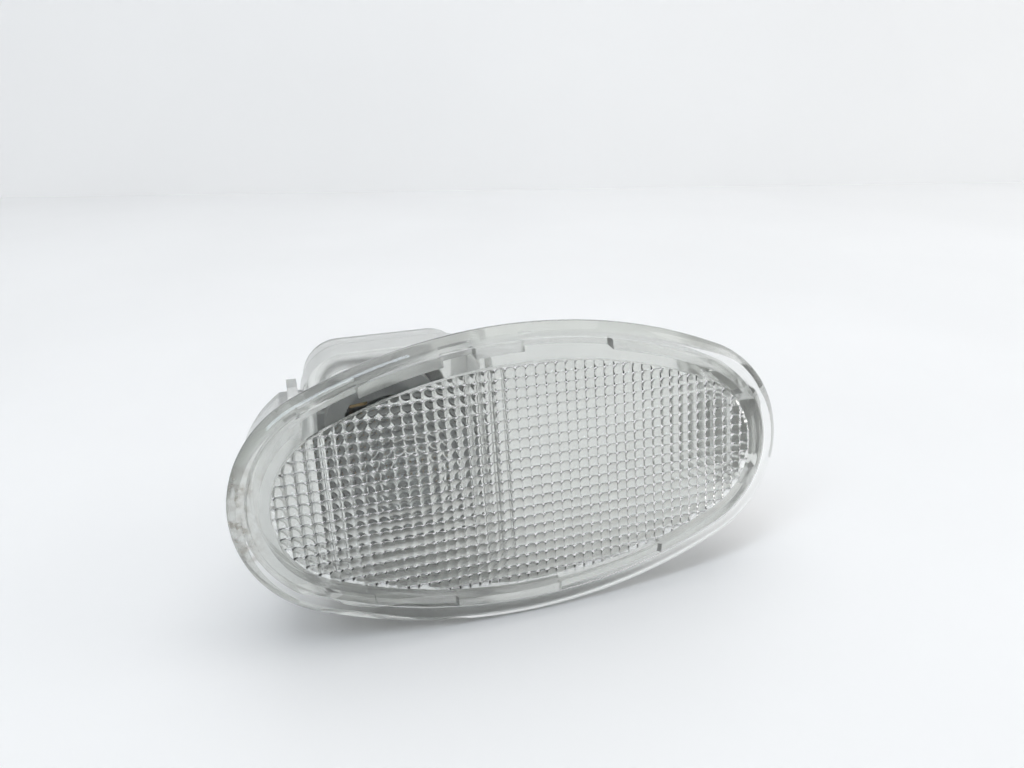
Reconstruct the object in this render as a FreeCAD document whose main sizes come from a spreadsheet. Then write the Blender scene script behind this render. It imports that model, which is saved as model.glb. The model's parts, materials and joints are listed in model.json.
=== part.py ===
import FreeCAD, Part
import os
import Sketcher

# Oval car lamp with a clear ribbed lens: sizes in millimetres, lens facing -Y, long axis on X,
# Z up, and the origin at the centre of the flange's rear face, which sits on the panel.
os.makedirs("parts", exist_ok=True)
doc = FreeCAD.newDocument("oval_lamp")
sheet = doc.addObject("Spreadsheet::Sheet", "Sizes")
Vec = FreeCAD.Vector
DIAGONAL = 0.5 ** 0.5
CLOSE = 1e-4

SIZES = [
    # How far a cut runs past the face that it starts from
    ("cut_over", 1.0),
    # Flange and lens
    ("flange_half_length", 37.5),
    ("flange_half_height", 19.9),
    ("flange_end_radius", 15.2),
    ("flange_edge", 0.5),
    ("flange_thickness", 1.6),
    ("bevel_width", 1.3),
    ("shoulder_inset", 1.9),
    ("optic_inset", 5.2),
    ("optic_height", 1.3),
    ("optic_plate", 1.0),
    ("cavity_inset", 5.2),
    ("recess_depth", 0.5),
    ("pillow_pitch", 1.33),
    ("pillow_height", 0.32),
    ("pillow_flat", 0.13),
    ("pillow_root", 0.2),
    ("pillow_skin", 0.05),
    ("groove_over", 0.05),
    # Housing
    ("wall", 1.4),
    ("rim_fit", 0.2),
    ("tray_inset", 2.5),
    ("tray_depth", 8.0),
    ("bulb_x", -14.3),
    ("chamber_width", 24.2),
    ("chamber_height", 33.2),
    ("chamber_corner", 5.5),
    ("chamber_rear", 24.0),
    ("chamber_round", 1.2),
    ("step_width", 0.7),
    ("step_rear", 14.0),
    ("hook_front", 2.8),
    ("hook_rear", 13.0),
    ("hook_inset", 1.2),
    ("hook_half_height", 11.8),
    ("hook_end_reach", 4.0),
    ("hollow_over", 0.2),
    ("rib_thickness", 1.3),
    ("rib_gap", 1.1),
    ("rib_top", 13.4),
    ("rib_height", 6.0),
    ("notch_depth", 2.0),
    # Clip at the right end, set in from the end of the flange
    ("clip_half_width", 4.4),
    ("clip_thickness", 0.5),
    ("clip_side_gap", 0.4),
    ("ear_thickness", 1.6),
    ("ear_rear", 15.6),
    ("pivot_inset", 5.6),
    ("pivot_y", 13.6),
    ("pivot_radius", 0.6),
    ("pivot_fit", 0.06),
    ("pivot_set_back", 0.3),
    ("hem_radius", 1.0),
    ("crest_inset", 0.8),
    ("crest_y", 5.0),
    ("crest_lean", 0.15),
    ("clip_tip_inset", 2.5),
    ("clip_tip_y", 2.6),
    ("clip_tip_gap", 0.6),
    ("tip_across", 0.8),
    ("tip_along", 0.6),
    ("pocket_inset", 6.9),
    # Bulb holder
    ("holder_radius", 8.3),
    ("holder_fit", 0.3),
    ("lug_reach", 10.0),
    ("lug_half_width", 1.9),
    ("lug_thickness", 1.4),
    ("lug_fit", 0.2),
    ("lug_end_gap", 0.5),
    ("neck_length", 4.6),
    ("holder_flange_radius", 10.6),
    ("holder_flange", 1.6),
    ("seal_thickness", 1.2),
    ("seal_fit", 0.1),
    ("seal_set_back", 0.3),
    ("block_half_width", 7.0),
    ("block_half_height", 4.6),
    ("block_length", 5.2),
    ("shroud_length", 8.0),
    ("shroud_wall", 1.3),
    ("grip_reach", 10.0),
    ("grip_half_width", 1.2),
    ("grip_length", 7.4),
    ("grip_root", 0.5),
    ("slot_half_width", 5.2),
    ("slot_half_height", 2.3),
    ("slot_floor", 1.8),
    ("bulb_seat_radius", 5.6),
    ("bulb_seat_depth", 1.6),
    # Contacts and bulb
    ("contact_offset", 3.2),
    ("contact_half_width", 1.3),
    ("contact_thickness", 0.5),
    ("contact_fit", 0.05),
    ("leaf_gap", 0.3),
    ("jog_gap", 0.4),
    ("blade_half_thickness", 0.4),
    ("blade_margin", 1.5),
    ("slit_fit", 0.12),
    ("slit_over", 0.3),
    ("bulb_radius", 5.0),
    ("bulb_tip", 3.0),
    ("glass_wall", 0.7),
    ("bulb_straight_end", 16.0),
    ("void_lead", 0.4),
    ("void_end_radius", 2.0),
    ("pinch_radius", 2.2),
    ("pinch_set_back", 0.3),
    ("pinch_length", 2.0),
    ("wedge_half_width", 4.6),
    ("wedge_half_thickness", 1.05),
    ("wedge_root", 1.2),
    ("wedge_end_gap", 0.4),
    ("lead_radius", 0.2),
    ("lead_fit", 0.02),
    ("lead_front_gap", 0.6),
    ("lead_end_gap", 0.2),
    ("post_radius", 0.2),
    ("post_offset", 1.4),
    ("coil_radius", 0.35),
    ("coil_over", 0.3),
    ("coil_y", 10.5),
]

# Gaps in the tray's front rim, which show through the clear flange: name, start and end along X
TOP_GAPS = [("top_gap_left", -27.6, -20.6), ("top_gap_window", -10.0, -5.8), ("top_gap_right", 0.5, 12.6)]
LOW_GAPS = [("low_gap_left", -21.2, -10.6), ("low_gap_right", 3.7, 18.8)]
for gap_name, gap_start, gap_end in TOP_GAPS + LOW_GAPS:
    SIZES.append((gap_name + "_start", gap_start))
    SIZES.append((gap_name + "_end", gap_end))

DERIVED = [
    # Four-arc oval shared by every outline of lens and tray
    ("oval_centre", "flange_half_length - flange_end_radius"),
    ("oval_side_radius", "(oval_centre ^ 2 + flange_half_height ^ 2 - flange_end_radius ^ 2)"
                         " / (2 * (flange_half_height - flange_end_radius))"),
    ("flush", "0 * flange_edge"),
    ("past_end", "flange_half_length + cut_over"),
    ("before_end", "-past_end"),
    # Lens levels along Y
    ("edge_front", "-flange_edge"),
    ("flange_front", "-flange_thickness"),
    ("optic_front", "-flange_thickness - optic_height"),
    ("cavity_floor", "optic_front + optic_plate"),
    ("cavity_length", "cut_over - cavity_floor"),
    ("recess_floor", "-recess_depth"),
    ("recess_length", "cut_over + recess_depth"),
    ("recess_inset", "tray_inset - rim_fit"),
    # Pillow field on the inner face of the lens
    ("field_inset", "cavity_inset + rim_fit"),
    ("field_front", "cavity_floor - pillow_root"),
    ("field_top", "cavity_floor + pillow_skin + pillow_height"),
    ("field_length", "field_top - field_front"),
    ("groove_floor", "field_top - pillow_height"),
    ("groove_mouth", "field_top + groove_over"),
    ("groove_half", "(pillow_pitch - pillow_flat) / 2 * (pillow_height + groove_over) / pillow_height"),
    ("pillow_columns", "floor(2 * (flange_half_length - field_inset) / pillow_pitch) + 1"),
    ("pillow_rows", "floor(2 * (flange_half_height - field_inset) / pillow_pitch) + 1"),
    ("column_start", "-(pillow_columns - 1) * pillow_pitch / 2"),
    ("row_start", "-(pillow_rows - 1) * pillow_pitch / 2"),
    ("column_left", "column_start - groove_half"),
    ("column_right", "column_start + groove_half"),
    ("row_low", "row_start - groove_half"),
    ("row_high", "row_start + groove_half"),
    ("column_span", "(pillow_columns - 1) * pillow_pitch"),
    ("row_span", "(pillow_rows - 1) * pillow_pitch"),
    ("groove_length", "2 * past_end"),
    # Housing levels and outlines
    ("tray_length", "tray_depth + recess_depth"),
    ("tray_hollow_inset", "tray_inset + wall"),
    ("tray_hollow", "tray_length - wall"),
    ("chamber_left", "bulb_x - chamber_width / 2"),
    ("chamber_right", "bulb_x + chamber_width / 2"),
    ("chamber_top", "chamber_height / 2"),
    ("chamber_base", "-chamber_top"),
    ("chamber_front", "tray_depth - wall"),
    ("chamber_length", "chamber_rear - chamber_front"),
    ("inner_left", "chamber_left + wall"),
    ("inner_right", "chamber_right - wall"),
    ("inner_top", "chamber_top - wall"),
    ("inner_base", "-inner_top"),
    ("inner_corner", "chamber_corner - wall"),
    ("inner_front", "chamber_front - hollow_over"),
    ("inner_length", "chamber_length - wall + hollow_over"),
    ("step_left", "chamber_left - step_width"),
    ("step_right", "chamber_right + step_width"),
    ("step_top", "chamber_top + step_width"),
    ("step_base", "-chamber_top + step_width / 2"),
    ("step_corner", "chamber_corner + step_width"),
    ("step_length", "step_rear - chamber_front"),
    ("hook_length", "hook_rear - hook_front"),
    ("hook_base", "-hook_half_height"),
    ("hook_past_rear", "hook_rear + cut_over"),
    ("hook_keep_right", "-oval_centre - hook_end_reach"),
    ("notch_rear", "notch_depth - recess_depth"),
    ("notch_front", "recess_floor - cut_over"),
    ("notch_end", "flange_half_height"),
    ("notch_end_low", "-notch_end"),
    ("rib_right", "chamber_left - rib_gap"),
    ("rib_left", "rib_right - rib_thickness"),
    ("rib_base", "rib_top - rib_height"),
    # Clip pocket, ears and pivot
    ("pivot_x", "flange_half_length - pivot_inset"),
    ("crest_x", "flange_half_length - crest_inset"),
    ("clip_tip_x", "flange_half_length - clip_tip_inset"),
    ("pocket_x", "flange_half_length - pocket_inset"),
    ("pocket_half", "clip_half_width + clip_side_gap"),
    ("pocket_low", "-pocket_half"),
    ("block_x", "pocket_x - wall"),
    ("ear_top", "pocket_half + ear_thickness"),
    ("ear_base", "-ear_top"),
    ("ear_right", "oval_centre + sqrt((flange_end_radius - tray_inset) ^ 2 - ear_top ^ 2)"),
    ("pocket_front", "clip_tip_y - clip_tip_gap"),
    ("pocket_rear", "ear_rear + cut_over"),
    ("ear_front", "tray_depth - wall"),
    ("pivot_hole", "pivot_radius + pivot_fit"),
    ("pivot_reach", "ear_top - pivot_set_back"),
    ("pivot_low", "-pivot_reach"),
    ("hole_reach", "ear_top + cut_over"),
    ("hole_low", "-hole_reach"),
    ("clip_low", "-clip_half_width"),
    ("clip_width", "2 * clip_half_width"),
    ("crest_back_x", "crest_x - clip_thickness"),
    ("crest_back_y", "crest_y + crest_lean"),
    ("tip_back_x", "clip_tip_x - clip_thickness * tip_across"),
    ("tip_back_y", "clip_tip_y + clip_thickness * tip_along"),
    ("root_x", "pivot_x + clip_thickness / 2"),
    ("root_back_x", "pivot_x - clip_thickness / 2"),
    # Holder levels along Y
    ("rear_inner", "chamber_rear - wall"),
    ("hole_radius", "holder_radius + holder_fit"),
    ("notch_reach", "lug_reach + lug_end_gap"),
    ("notch_low", "-notch_reach"),
    ("notch_left", "bulb_x - lug_half_width - holder_fit"),
    ("notch_right", "bulb_x + lug_half_width + holder_fit"),
    ("hole_front", "rear_inner - cut_over"),
    ("hole_rear", "chamber_rear + cut_over"),
    ("lug_rear", "rear_inner - lug_fit"),
    ("lug_front", "lug_rear - lug_thickness"),
    ("lug_left", "bulb_x - lug_reach"),
    ("lug_right", "bulb_x + lug_reach"),
    ("lug_low", "-lug_half_width"),
    ("seal_front", "chamber_rear + seal_fit"),
    ("flange_y", "seal_front + seal_thickness"),
    ("neck_front", "chamber_rear - neck_length"),
    ("holder_flange_rear", "flange_y + holder_flange"),
    ("block_rear", "holder_flange_rear + block_length"),
    ("shroud_rear", "block_rear + shroud_length"),
    ("block_left", "bulb_x - block_half_width"),
    ("block_right", "bulb_x + block_half_width"),
    ("block_low", "-block_half_height"),
    ("shroud_left", "block_left + shroud_wall"),
    ("shroud_right", "block_right - shroud_wall"),
    ("shroud_top", "block_half_height - shroud_wall"),
    ("shroud_low", "-shroud_top"),
    ("shroud_open", "shroud_rear + cut_over"),
    ("grip_left", "bulb_x - grip_reach"),
    ("grip_right", "bulb_x + grip_reach"),
    ("grip_low", "-grip_half_width"),
    ("grip_rear", "holder_flange_rear + grip_length"),
    ("grip_front", "holder_flange_rear - grip_root"),
    ("slot_front", "neck_front - cut_over"),
    ("slot_rear", "block_rear - slot_floor"),
    ("slot_left", "bulb_x - slot_half_width"),
    ("slot_right", "bulb_x + slot_half_width"),
    ("slot_low", "-slot_half_height"),
    ("seat_rear", "neck_front + bulb_seat_depth"),
    ("seal_inner", "holder_radius + seal_fit"),
    ("seal_outer", "holder_flange_radius - seal_set_back"),
    # Contacts, one on each side of the wedge
    ("leaf_inner", "wedge_half_thickness + lead_fit + 2 * lead_radius + contact_fit"),
    ("leaf_outer", "leaf_inner + contact_thickness"),
    ("leaf_front", "neck_front + bulb_seat_depth + leaf_gap"),
    ("jog_rear", "slot_rear - jog_gap"),
    ("jog_front", "jog_rear - contact_thickness"),
    ("blade_rear", "shroud_rear - blade_margin"),
    ("blade_low", "-blade_half_thickness"),
    ("leaf_inner_low", "-leaf_inner"),
    ("leaf_outer_low", "-leaf_outer"),
    ("contact_width", "2 * contact_half_width"),
    ("contact_one", "bulb_x - contact_offset"),
    ("contact_two", "bulb_x + contact_offset"),
    ("slit_half", "contact_half_width + slit_fit"),
    ("slit_one_left", "contact_one - slit_half"),
    ("slit_one_right", "contact_one + slit_half"),
    ("slit_two_left", "contact_two - slit_half"),
    ("slit_two_right", "contact_two + slit_half"),
    ("slit_top", "blade_half_thickness + slit_fit"),
    ("slit_low", "-slit_top"),
    ("slit_front", "slot_rear - slit_over"),
    ("slit_rear", "block_rear + slit_over"),
    # Bulb
    ("bulb_shoulder", "bulb_tip + bulb_radius"),
    ("pinch_y", "neck_front + bulb_seat_depth - pinch_set_back"),
    ("void_tip", "bulb_tip + glass_wall"),
    ("void_radius", "bulb_radius - glass_wall"),
    ("void_end", "pinch_y - pinch_length"),
    ("void_straight_end", "bulb_straight_end - void_lead"),
    ("wedge_front", "pinch_y - wedge_root"),
    ("wedge_rear", "jog_front - wedge_end_gap"),
    ("wedge_left", "bulb_x - wedge_half_width"),
    ("wedge_right", "bulb_x + wedge_half_width"),
    ("wedge_low", "-wedge_half_thickness"),
    ("lead_z", "wedge_half_thickness + lead_fit + lead_radius"),
    ("lead_z_low", "-lead_z"),
    ("lead_front", "leaf_front + lead_front_gap"),
    ("lead_rear", "wedge_rear - lead_end_gap"),
    ("post_one", "bulb_x - post_offset"),
    ("post_two", "bulb_x + post_offset"),
    ("coil_left", "post_one - coil_over"),
    ("coil_right", "post_two + coil_over"),
    ("middle", "0 * wall"),
]


def fill_sheet():
    row = 1
    for alias, value in SIZES:
        sheet.set("A%d" % row, alias)
        sheet.set("B%d" % row, str(value))
        sheet.setAlias("B%d" % row, alias)
        row += 1
    doc.recompute()
    for alias, formula in DERIVED:
        sheet.set("A%d" % row, alias)
        sheet.setAlias("B%d" % row, alias)
        sheet.set("B%d" % row, "=" + formula)
        row += 1
    doc.recompute()


def num(alias):
    return float(sheet.get(alias))


def expr(alias):
    return "Sizes." + alias


# Sketch helpers
def origin_plane(body, role):
    return [item for item in body.Origin.OriginFeatures if item.Role == role][0]


def new_body(name):
    body = doc.addObject("PartDesign::Body", name)
    body.Label = name
    return body


def new_sketch(body, name, role, level=None, sign=1, shift=None):
    sketch = body.newObject("Sketcher::SketchObject", name)
    sketch.AttachmentSupport = [(origin_plane(body, role), "")]
    sketch.MapMode = "FlatFace"
    if level:
        sketch.setExpression("AttachmentOffset.Base.z", "%d * %s" % (sign, expr(level)))
    if shift:
        sketch.setExpression("AttachmentOffset.Base.x", expr(shift))
    return sketch


def drive(sketch, constraint, formula):
    index = sketch.addConstraint(constraint)
    sketch.setExpression("Constraints[%d]" % index, formula)


def draw_oval(sketch, inset):
    """Draw the lamp's four-arc oval, moved inward by one named inset."""
    centre = num("oval_centre")
    side = num("oval_side_radius")
    end = num("flange_end_radius")
    half = num("flange_half_height")
    drop = side - half
    away = num(inset)
    reach = (centre ** 2 + drop ** 2) ** 0.5
    ux = centre / reach
    uy = drop / reach
    side_r = side - away
    end_r = end - away

    def arc(cx, cy, radius, start, middle, stop):
        points = [Vec(cx + radius * px, cy + radius * py, 0) for px, py in (start, middle, stop)]
        return sketch.addGeometry(Part.Arc(*points), False)

    right = arc(centre, 0, end_r, (ux, -uy), (1, 0), (ux, uy))
    top = arc(0, -drop, side_r, (ux, uy), (0, 1), (-ux, uy))
    left = arc(-centre, 0, end_r, (-ux, uy), (-1, 0), (-ux, -uy))
    low = arc(0, drop, side_r, (-ux, -uy), (0, -1), (ux, -uy))
    for first, second in ((right, top), (top, left), (left, low), (low, right)):
        sketch.addConstraint(Sketcher.Constraint("Tangent", first, 2, second, 1))
    sketch.addConstraint(Sketcher.Constraint("PointOnObject", right, 3, -1))
    sketch.addConstraint(Sketcher.Constraint("PointOnObject", left, 3, -1))
    drive(sketch, Sketcher.Constraint("DistanceX", -1, 1, right, 3, centre), expr("oval_centre"))
    drive(sketch, Sketcher.Constraint("DistanceX", left, 3, -1, 1, centre), expr("oval_centre"))
    for one in (right, left):
        drive(sketch, Sketcher.Constraint("Radius", one, end_r),
              expr("flange_end_radius") + " - " + expr(inset))
    for one in (top, low):
        drive(sketch, Sketcher.Constraint("Radius", one, side_r),
              expr("oval_side_radius") + " - " + expr(inset))


def draw_polygon(sketch, corners):
    """Draw a closed outline whose corners are pairs of named sizes."""
    points = [Vec(num(x), num(y), 0) for x, y in corners]
    count = len(points)
    lines = []
    for i in range(count):
        lines.append(sketch.addGeometry(Part.LineSegment(points[i], points[(i + 1) % count]), False))
    for i in range(count):
        sketch.addConstraint(Sketcher.Constraint("Coincident", lines[i], 2, lines[(i + 1) % count], 1))
    for line, (x, y) in zip(lines, corners):
        drive(sketch, Sketcher.Constraint("DistanceX", -1, 1, line, 1, num(x)), expr(x))
        drive(sketch, Sketcher.Constraint("DistanceY", -1, 1, line, 1, num(y)), expr(y))


def draw_rounded(sketch, left, right, low, top, radius):
    """Draw a rectangle with four equal round corners."""
    x0, x1, z0, z1, r = (num(name) for name in (left, right, low, top, radius))
    d = r * DIAGONAL
    segments = [
        Part.LineSegment(Vec(x0 + r, z0, 0), Vec(x1 - r, z0, 0)),
        Part.Arc(Vec(x1 - r, z0, 0), Vec(x1 - r + d, z0 + r - d, 0), Vec(x1, z0 + r, 0)),
        Part.LineSegment(Vec(x1, z0 + r, 0), Vec(x1, z1 - r, 0)),
        Part.Arc(Vec(x1, z1 - r, 0), Vec(x1 - r + d, z1 - r + d, 0), Vec(x1 - r, z1, 0)),
        Part.LineSegment(Vec(x1 - r, z1, 0), Vec(x0 + r, z1, 0)),
        Part.Arc(Vec(x0 + r, z1, 0), Vec(x0 + r - d, z1 - r + d, 0), Vec(x0, z1 - r, 0)),
        Part.LineSegment(Vec(x0, z1 - r, 0), Vec(x0, z0 + r, 0)),
        Part.Arc(Vec(x0, z0 + r, 0), Vec(x0 + r - d, z0 + r - d, 0), Vec(x0 + r, z0, 0)),
    ]
    ids = [sketch.addGeometry(segment, False) for segment in segments]
    for i in range(8):
        sketch.addConstraint(Sketcher.Constraint("Tangent", ids[i], 2, ids[(i + 1) % 8], 1))
    for i in (0, 4):
        sketch.addConstraint(Sketcher.Constraint("Horizontal", ids[i]))
    for i in (2, 6):
        sketch.addConstraint(Sketcher.Constraint("Vertical", ids[i]))
    for i in (1, 3, 5, 7):
        drive(sketch, Sketcher.Constraint("Radius", ids[i], r), expr(radius))
    drive(sketch, Sketcher.Constraint("DistanceY", -1, 1, ids[0], 1, z0), expr(low))
    drive(sketch, Sketcher.Constraint("DistanceX", -1, 1, ids[2], 1, x1), expr(right))
    drive(sketch, Sketcher.Constraint("DistanceY", -1, 1, ids[4], 1, z1), expr(top))
    drive(sketch, Sketcher.Constraint("DistanceX", -1, 1, ids[6], 1, x0), expr(left))


# Feature helpers: every length runs towards +Y from a sketch parallel to the panel
def oval_sketch(body, name, level, inset):
    sketch = new_sketch(body, name, "XZ_Plane", level, -1)
    draw_oval(sketch, inset)
    return sketch


def pad_back(body, name, sketch, length):
    pad = body.newObject("PartDesign::Pad", name)
    pad.Profile = sketch
    pad.setExpression("Length", expr(length))
    pad.Reversed = True
    body.Tip = pad
    return pad


def pocket_back(body, name, sketch, length):
    pocket = body.newObject("PartDesign::Pocket", name)
    pocket.Profile = sketch
    pocket.setExpression("Length", expr(length))
    body.Tip = pocket
    return pocket


def loft(body, name, first, second):
    feature = body.newObject("PartDesign::AdditiveLoft", name)
    feature.Profile = first
    feature.Sections = [second]
    feature.Ruled = True
    body.Tip = feature
    return feature


def place(body, feature, x, y, z):
    feature.AttachmentSupport = [(origin_plane(body, "XY_Plane"), "")]
    feature.MapMode = "FlatFace"
    for axis, name in (("x", x), ("y", y), ("z", z)):
        feature.setExpression("AttachmentOffset.Base." + axis, expr(name))


def box(body, name, xs, ys, zs, cut=False):
    kind = "PartDesign::SubtractiveBox" if cut else "PartDesign::AdditiveBox"
    feature = body.newObject(kind, name)
    place(body, feature, xs[0], ys[0], zs[0])
    for side, (low, high) in (("Length", xs), ("Width", ys), ("Height", zs)):
        feature.setExpression(side, expr(high) + " - " + expr(low))
    body.Tip = feature
    return feature


TURNS = {"x": (Vec(0, 1, 0), 90), "y": (Vec(1, 0, 0), -90), "z": (Vec(0, 0, 1), 0)}


def cylinder(body, name, axis, at, span, radius, cut=False):
    """Add or cut a cylinder along x, y or z; at gives its two cross coordinates in x, y, z order."""
    kind = "PartDesign::SubtractiveCylinder" if cut else "PartDesign::AdditiveCylinder"
    feature = body.newObject(kind, name)
    place_at = list(at)
    place_at.insert("xyz".index(axis), span[0])
    feature.AttachmentOffset = FreeCAD.Placement(Vec(0, 0, 0), FreeCAD.Rotation(*TURNS[axis]))
    place(body, feature, *place_at)
    feature.setExpression("Radius", expr(radius))
    feature.setExpression("Height", expr(span[1]) + " - " + expr(span[0]))
    body.Tip = feature
    return feature


def checked(body):
    doc.recompute()
    for item in list(body.Group) + [body]:
        states = [word for word in item.State if word in ("Invalid", "Error")]
        if states:
            raise RuntimeError("%s is %s" % (item.Name, states))
    if body.Shape.isNull() or not body.Shape.isValid():
        raise RuntimeError(body.Name + " has no valid shape")
    previous = None
    for item in body.Group:
        if item.TypeId in CUTS and previous is not None:
            if item.Shape.Volume > previous - CLOSE:
                raise RuntimeError(item.Name + " cuts nothing")
        if hasattr(item, "Shape") and item.TypeId.startswith("PartDesign"):
            previous = item.Shape.Volume
    return body


CUTS = (
    "PartDesign::Pocket",
    "PartDesign::Groove",
    "PartDesign::SubtractiveBox",
    "PartDesign::SubtractiveCylinder",
)


# Pillow field: a thin slab scored by crossing V grooves into small square pillows
def groove_set(body, name, role, corners, axis_role, span, count):
    sketch = new_sketch(body, name + "_profile", role)
    draw_polygon(sketch, corners)
    pocket = body.newObject("PartDesign::Pocket", name)
    pocket.Profile = sketch
    pocket.Midplane = True
    pocket.setExpression("Length", expr("groove_length"))
    doc.recompute()
    pattern = body.newObject("PartDesign::LinearPattern", name + "_row")
    pattern.Originals = [pocket]
    pattern.Direction = (origin_plane(body, axis_role), [""])
    pattern.setExpression("Length", expr(span))
    pattern.setExpression("Occurrences", expr(count))
    pattern.Refine = False
    body.Tip = pattern


def make_pillow_field():
    body = new_body("pillow_field")
    outline = oval_sketch(body, "field_outline", "field_front", "field_inset")
    pad_back(body, "field_slab", outline, "field_length")
    columns = [("column_left", "groove_mouth"), ("column_start", "groove_floor"),
               ("column_right", "groove_mouth")]
    rows = [("groove_mouth", "row_low"), ("groove_floor", "row_start"), ("groove_mouth", "row_high")]
    groove_set(body, "column_groove", "XY_Plane", columns, "X_Axis", "column_span", "pillow_columns")
    groove_set(body, "row_groove", "YZ_Plane", rows, "Z_Axis", "row_span", "pillow_rows")
    return checked(body)


# Lens: flange with bevelled edge, raised field with a sloped wall, hollow at the back
def make_lens(field):
    body = new_body("lens")
    edge = oval_sketch(body, "edge_outline", "edge_front", "flush")
    pad_back(body, "flange_edge_pad", edge, "flange_edge")
    bevel_foot = oval_sketch(body, "bevel_foot", "edge_front", "flush")
    bevel_top = oval_sketch(body, "bevel_top", "flange_front", "bevel_width")
    loft(body, "bevel", bevel_foot, bevel_top)
    shoulder_foot = oval_sketch(body, "shoulder_foot", "flange_front", "shoulder_inset")
    shoulder_top = oval_sketch(body, "shoulder_top", "optic_front", "optic_inset")
    loft(body, "shoulder", shoulder_foot, shoulder_top)
    hollow = oval_sketch(body, "cavity_outline", "cavity_floor", "cavity_inset")
    pocket_back(body, "cavity", hollow, "cavity_length")
    recess = oval_sketch(body, "recess_outline", "recess_floor", "recess_inset")
    pocket_back(body, "recess", recess, "recess_length")
    doc.recompute()
    join = body.newObject("PartDesign::Boolean", "pillows_joined")
    join.Type = "Fuse"
    join.setObjects([field])
    join.Refine = False
    body.Tip = join
    return checked(body)


# Housing: oval tray, bulb chamber, hook at the left end and clip ears at the right end
def make_hook():
    body = new_body("hook_wall")
    outline = oval_sketch(body, "hook_outline", "hook_front", "hook_inset")
    pad_back(body, "hook_ring", outline, "hook_length")
    inner = oval_sketch(body, "hook_inner", "hook_front", "tray_hollow_inset")
    pocket_back(body, "hook_hollow", inner, "hook_length")
    across = ("before_end", "past_end")
    deep = ("flush", "hook_past_rear")
    box(body, "hook_right_end", ("hook_keep_right", "past_end"), deep, across, cut=True)
    box(body, "hook_above", across, deep, ("hook_half_height", "past_end"), cut=True)
    box(body, "hook_below", across, deep, ("before_end", "hook_base"), cut=True)
    return checked(body)


def rear_edges(shape, level):
    names = []
    for index, edge in enumerate(shape.Edges, 1):
        bounds = edge.BoundBox
        if abs(bounds.YMin - level) < CLOSE and abs(bounds.YMax - level) < CLOSE:
            names.append("Edge%d" % index)
    return names


def make_housing(hook):
    body = new_body("housing")
    outline = oval_sketch(body, "tray_outline", "recess_floor", "tray_inset")
    pad_back(body, "tray", outline, "tray_length")
    step = new_sketch(body, "step_outline", "XZ_Plane", "chamber_front", -1)
    draw_rounded(step, "step_left", "step_right", "step_base", "step_top", "step_corner")
    pad_back(body, "chamber_step", step, "step_length")
    chamber = new_sketch(body, "chamber_outline", "XZ_Plane", "chamber_front", -1)
    draw_rounded(chamber, "chamber_left", "chamber_right", "chamber_base", "chamber_top", "chamber_corner")
    pad_back(body, "chamber", chamber, "chamber_length")
    doc.recompute()
    square = body.Tip
    rounding = body.newObject("PartDesign::Fillet", "chamber_rounding")
    rounding.Base = (square, rear_edges(square.Shape, num("chamber_rear")))
    rounding.setExpression("Radius", expr("chamber_round"))
    body.Tip = rounding
    hollow = oval_sketch(body, "tray_inner", "recess_floor", "tray_hollow_inset")
    pocket_back(body, "tray_hollow", hollow, "tray_hollow")
    inner = new_sketch(body, "chamber_inner", "XZ_Plane", "inner_front", -1)
    draw_rounded(inner, "inner_left", "inner_right", "inner_base", "inner_top", "inner_corner")
    pocket_back(body, "chamber_hollow", inner, "inner_length")
    # Gaps in the front rim
    for name, _, _ in TOP_GAPS:
        box(body, name, (name + "_start", name + "_end"), ("notch_front", "notch_rear"),
            ("middle", "notch_end"), cut=True)
    for name, _, _ in LOW_GAPS:
        box(body, name, (name + "_start", name + "_end"), ("notch_front", "notch_rear"),
            ("notch_end_low", "middle"), cut=True)
    # Clip block, ears and the pocket that the clip swings into
    box(body, "clip_block", ("block_x", "ear_right"), ("recess_floor", "tray_depth"), ("ear_base", "ear_top"))
    box(body, "clip_ears", ("block_x", "ear_right"), ("ear_front", "ear_rear"), ("ear_base", "ear_top"))
    box(body, "clip_pocket", ("pocket_x", "past_end"), ("pocket_front", "pocket_rear"),
        ("pocket_low", "pocket_half"), cut=True)
    cylinder(body, "pivot_holes", "z", ("pivot_x", "pivot_y"), ("hole_low", "hole_reach"),
             "pivot_hole", cut=True)
    # Bulb opening with two notches for the holder's lugs
    cylinder(body, "bulb_opening", "y", ("bulb_x", "middle"), ("hole_front", "hole_rear"),
             "hole_radius", cut=True)
    box(body, "lug_notches", ("notch_left", "notch_right"), ("hole_front", "hole_rear"),
        ("notch_low", "notch_reach"), cut=True)
    # Stop rib beside the chamber
    box(body, "stop_rib", ("rib_left", "rib_right"), ("hook_front", "hook_rear"), ("rib_base", "rib_top"))
    doc.recompute()
    join = body.newObject("PartDesign::Boolean", "hook_joined")
    join.Type = "Fuse"
    join.setObjects([hook])
    body.Tip = join
    return checked(body)


# Spring clip: a bent leaf on a round hem that turns in the two ears
def make_clip():
    body = new_body("spring_clip")
    leaf = new_sketch(body, "leaf_outline", "XY_Plane")
    corners = [("root_x", "pivot_y"), ("crest_x", "crest_y"), ("clip_tip_x", "clip_tip_y"),
               ("tip_back_x", "tip_back_y"), ("crest_back_x", "crest_back_y"), ("root_back_x", "pivot_y")]
    draw_polygon(leaf, corners)
    pad = body.newObject("PartDesign::Pad", "leaf")
    pad.Profile = leaf
    pad.Midplane = True
    pad.setExpression("Length", expr("clip_width"))
    body.Tip = pad
    cylinder(body, "hem", "z", ("pivot_x", "pivot_y"), ("clip_low", "clip_half_width"), "hem_radius")
    cylinder(body, "pivot", "z", ("pivot_x", "pivot_y"), ("pivot_low", "pivot_reach"), "pivot_radius")
    return checked(body)


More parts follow.
